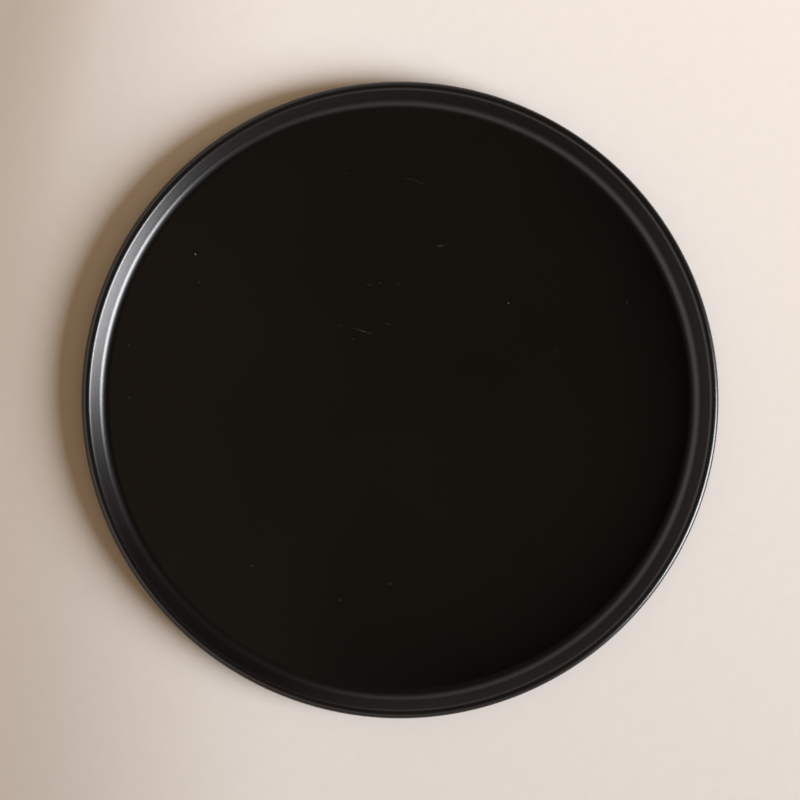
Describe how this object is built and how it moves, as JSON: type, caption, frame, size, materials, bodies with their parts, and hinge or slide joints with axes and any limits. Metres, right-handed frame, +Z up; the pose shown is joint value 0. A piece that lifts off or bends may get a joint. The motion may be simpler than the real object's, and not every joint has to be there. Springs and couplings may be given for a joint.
{
  "type": "serving tray",
  "caption": "Round shallow black serving tray of coated sheet steel, with a sloping wall, an edge curled over a wire, and non-slip pads underneath.",
  "frame": {"origin": "on the table, under the middle of the tray", "axes": "+Z up along the axis of the round tray"},
  "size_m": [0.32, 0.32, 0.0099],
  "materials": {
    "black_coating": "satin black coating",
    "bare_steel": "drawn wire",
    "black_rubber": "matt"
  },
  "bodies": {
    "root": {"tray_pan": "black_coating", "rim_wire": "bare_steel", "foot_pad_1": "black_rubber", "foot_pad_2": "black_rubber", "foot_pad_3": "black_rubber", "foot_pad_4": "black_rubber"}
  },
  "joints": []
}
